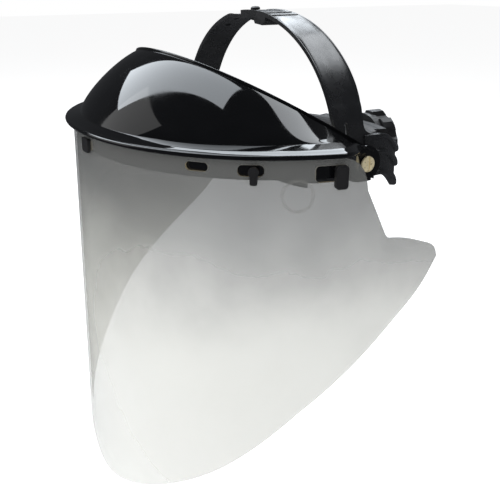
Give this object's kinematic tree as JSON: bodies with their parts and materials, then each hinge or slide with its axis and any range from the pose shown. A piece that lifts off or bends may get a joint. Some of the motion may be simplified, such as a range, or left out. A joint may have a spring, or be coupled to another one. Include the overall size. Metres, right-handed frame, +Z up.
{
  "type": "face shield",
  "caption": "Face shield: gloss black visor crown with a wrap-round grey window, hinged at the temples to a headgear with overhead strap and ratchet rear band.",
  "frame": {"origin": "middle of the tilt axis, between the two temple pivots, where the wearer's temples are", "axes": "+Z up, the window faces -Y, +X is the wearer's left; the tilt axis lies along X"},
  "size_m": [0.2698, 0.2306, 0.3043],
  "materials": {
    "crown_plastic": "very glossy black moulding",
    "window_sheet": "clear grey tinted sheet, smooth both sides",
    "black_fittings": "satin black moulding",
    "frame_plastic": "semi-gloss black moulding with fine grain",
    "sweatband_cover": "perforated black artificial leather over foam",
    "pad_foam": "dark knitted cover over foam",
    "ratchet_plastic": "satin black moulding",
    "brass": "pale brushed brass",
    "nylon": "dark nylon",
    "steel": "zinc plated steel"
  },
  "bodies": {
    "headgear": {"side_frame_left": "frame_plastic", "side_frame_right": "frame_plastic", "strap_pin": "black_fittings", "front_headband": "frame_plastic", "sweatband": "sweatband_cover", "pivot_screw_left": "brass", "pivot_screw_right": "brass", "friction_washer_left": "nylon", "friction_washer_right": "nylon", "spring_washer_left": "steel", "spring_washer_right": "steel", "lock_nut_left": "steel", "lock_nut_right": "steel", "ratchet_base": "ratchet_plastic", "ratchet_cover": "ratchet_plastic", "detent_spring": "steel", "housing_screw_left": "steel", "housing_screw_right": "steel", "nape_pad": "pad_foam"},
    "visor": {"crown_shell": "crown_plastic", "window": "window_sheet", "front_stud": "black_fittings"},
    "button_left": {"lock_button_left": "black_fittings"},
    "button_right": {"lock_button_right": "black_fittings"},
    "lever_left": {"side_lever_left": "black_fittings"},
    "lever_right": {"side_lever_right": "black_fittings"},
    "knob": {"ratchet_knob": "ratchet_plastic", "drive_pinion": "ratchet_plastic", "knob_screw": "steel"},
    "left_rack": {"rack_left": "ratchet_plastic"},
    "right_rack": {"rack_right": "ratchet_plastic"}
  },
  "joints": [
    {"name": "visor_tilt", "type": "hinge", "parent": "headgear", "child": "visor", "pos_m": [0, 0, 0], "axis": [-1, 0, 0], "range_deg": [0, 95]},
    {"name": "button_left_turn", "type": "hinge", "parent": "visor", "child": "button_left", "pos_m": [0.10975, -0.07974, 0.007], "axis": [0.8136, -0.5814, 0], "range_deg": [0, 90]},
    {"name": "button_right_turn", "type": "hinge", "parent": "visor", "child": "button_right", "pos_m": [-0.10975, -0.07974, 0.007], "axis": [0.8136, 0.5814, 0], "range_deg": [0, 90]},
    {"name": "lever_left_turn", "type": "hinge", "parent": "visor", "child": "lever_left", "pos_m": [0.12824, -0.03801, 0.0056], "axis": [0.9766, -0.2149, 0], "range_deg": [0, 90]},
    {"name": "lever_right_turn", "type": "hinge", "parent": "visor", "child": "lever_right", "pos_m": [-0.12824, -0.03801, 0.0056], "axis": [0.9766, 0.2149, 0], "range_deg": [0, 90]},
    {"name": "knob_turn", "type": "hinge", "parent": "headgear", "child": "knob", "pos_m": [0, 0.085, -0.014], "axis": [0, 1, 0], "range_deg": [-175, 210]},
    {"name": "left_rack_slide", "type": "hinge", "parent": "headgear", "child": "left_rack", "pos_m": [0, -0.02867, -0.014], "axis": [0, 0, -1], "range_deg": [-11.3, 13.5]},
    {"name": "right_rack_slide", "type": "hinge", "parent": "headgear", "child": "right_rack", "pos_m": [0, -0.02867, -0.014], "axis": [0, 0, 1], "range_deg": [-11.3, 13.5]}
  ],
  "couplings": [
    {"joint": "left_rack_slide", "follows": "knob_turn", "ratio": 0.0634},
    {"joint": "right_rack_slide", "follows": "knob_turn", "ratio": 0.0634}
  ]
}
